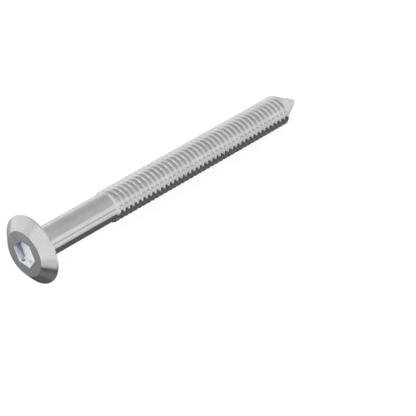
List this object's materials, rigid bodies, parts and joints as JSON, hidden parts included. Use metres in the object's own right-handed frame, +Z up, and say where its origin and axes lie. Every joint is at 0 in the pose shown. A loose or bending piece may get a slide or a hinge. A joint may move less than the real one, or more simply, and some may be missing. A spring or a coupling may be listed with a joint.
{
  "type": "screw",
  "caption": "Furniture connector screw with a bevelled flat head, a hex socket, a plain shank, a right-hand machine thread and a conical point.",
  "frame": {"origin": "middle of the footprint of the screw as it lies at rest, on the plane it lies on", "axes": "+X from the head to the point along the floor (the screw's own axis dips 3.1 degrees below +X towards the point), +Y across the screw, +Z up"},
  "size_m": [0.0882, 0.0166, 0.0166],
  "materials": {
    "zinc_plate": "bright zinc plating on steel, semi-gloss"
  },
  "bodies": {
    "root": {"screw": "zinc_plate"}
  },
  "joints": []
}
